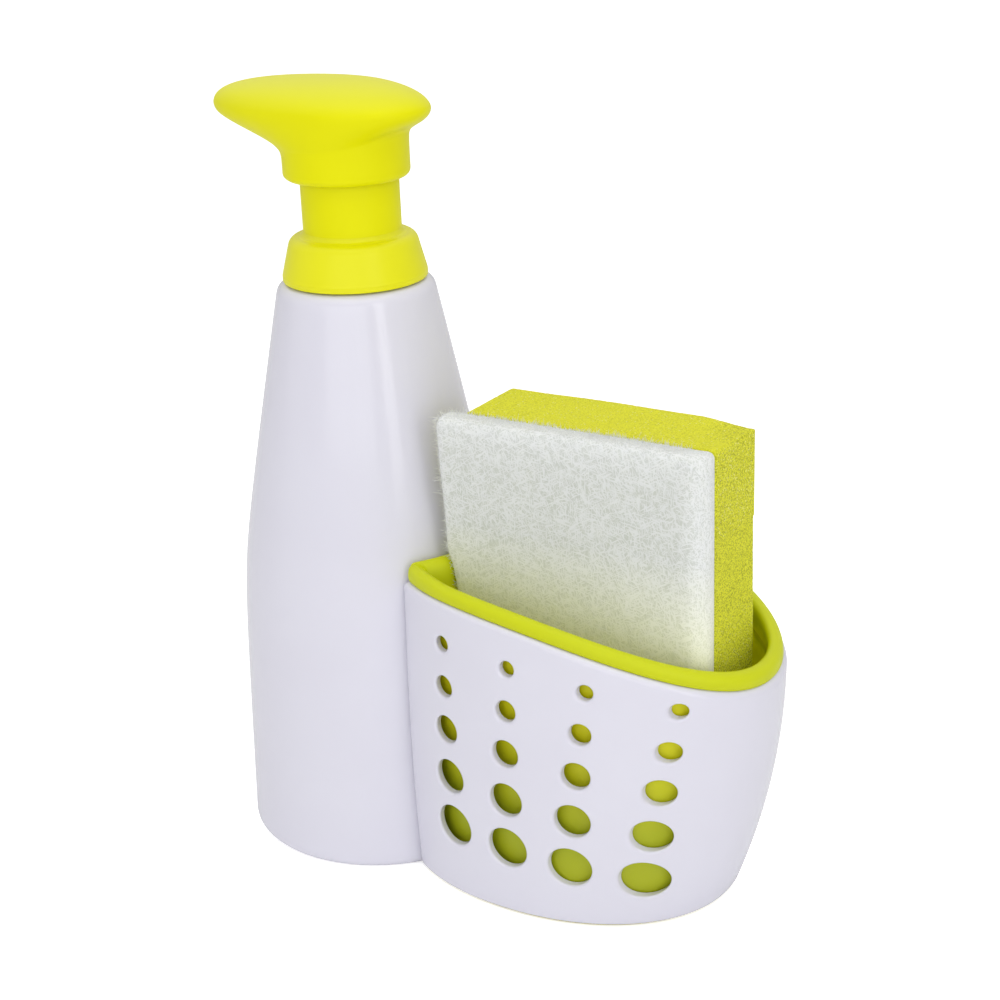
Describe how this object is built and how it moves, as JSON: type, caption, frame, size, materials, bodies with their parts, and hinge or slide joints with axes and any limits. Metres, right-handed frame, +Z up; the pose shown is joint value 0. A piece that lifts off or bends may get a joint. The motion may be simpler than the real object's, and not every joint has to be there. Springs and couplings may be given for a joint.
{
  "type": "soap pump caddy",
  "caption": "Tapered soap pump bottle with a perforated sponge basket hugging its side, a lift-out lime liner and an upright two-layer scouring sponge.",
  "frame": {"origin": "on the counter, under the middle of the caddy's box", "axes": "+X from the bottle towards the far end of the basket, +Y to the left of that, +Z up along the pump"},
  "size_m": [0.169, 0.0804, 0.2176],
  "materials": {
    "white_plastic": "glossy, moulded, faint cool tint",
    "lime_plastic": "satin, moulded, saturated lime yellow",
    "liner_plastic": "satin, moulded, lime green",
    "foot_rubber": "soft, matt",
    "foam": "open-cell foam with fine pores",
    "scour_fibre": "bonded non-woven fibre, fuzzy",
    "natural_plastic": "unpigmented, slightly milky",
    "seal_rubber": "matt",
    "steel": "plain"
  },
  "bodies": {
    "root": {"bottle": "white_plastic", "basket_shell": "white_plastic", "basket_foot": "foot_rubber"},
    "pump": {"pump_barrel": "natural_plastic", "guide_sleeve": "lime_plastic", "neck_gasket": "seal_rubber", "dip_tube": "natural_plastic", "return_spring": "steel"},
    "closure": {"collar": "lime_plastic"},
    "plunger": {"piston": "seal_rubber"},
    "head": {"head_cover": "lime_plastic", "spout_channel": "lime_plastic", "stem": "natural_plastic", "valve_rod": "natural_plastic"},
    "inlet_valve": {"inlet_ball": "steel"},
    "outlet_valve": {"outlet_ball": "steel"},
    "liner_cup": {"liner": "liner_plastic"},
    "sponge": {"sponge_foam": "foam", "scour_pad": "scour_fibre"}
  },
  "joints": [
    {"name": "pump_lift", "type": "slide", "parent": "root", "child": "pump", "axis": [0, 0, 1], "range_m": [0, 0.175]},
    {"name": "collar_turn", "type": "hinge", "parent": "pump", "child": "closure", "pos_m": [-0.04213, 0, 0.1697], "axis": [0, 0, 1], "range_deg": [0, 450]},
    {"name": "head_press", "type": "slide", "parent": "pump", "child": "plunger", "axis": [0, 0, 1], "range_m": [-0.011, 0], "stiffness_N_per_m": 700, "springref_m": 0.007, "deforming": ["return_spring"]},
    {"name": "head_swivel", "type": "hinge", "parent": "plunger", "child": "head", "pos_m": [-0.04213, 0, 0.2], "axis": [0, 0, 1], "continuous": true},
    {"name": "inlet_lift", "type": "slide", "parent": "pump", "child": "inlet_valve", "axis": [0, 0, 1], "range_m": [0, 0.0008]},
    {"name": "outlet_lift", "type": "slide", "parent": "head", "child": "outlet_valve", "axis": [0, 0, 1], "range_m": [0, 0.001]},
    {"name": "liner_lift", "type": "slide", "parent": "root", "child": "liner_cup", "axis": [0, 0, 1], "range_m": [0, 0.13]},
    {"name": "sponge_lift", "type": "slide", "parent": "liner_cup", "child": "sponge", "axis": [0, 0, 1], "range_m": [0, 0.11]}
  ]
}
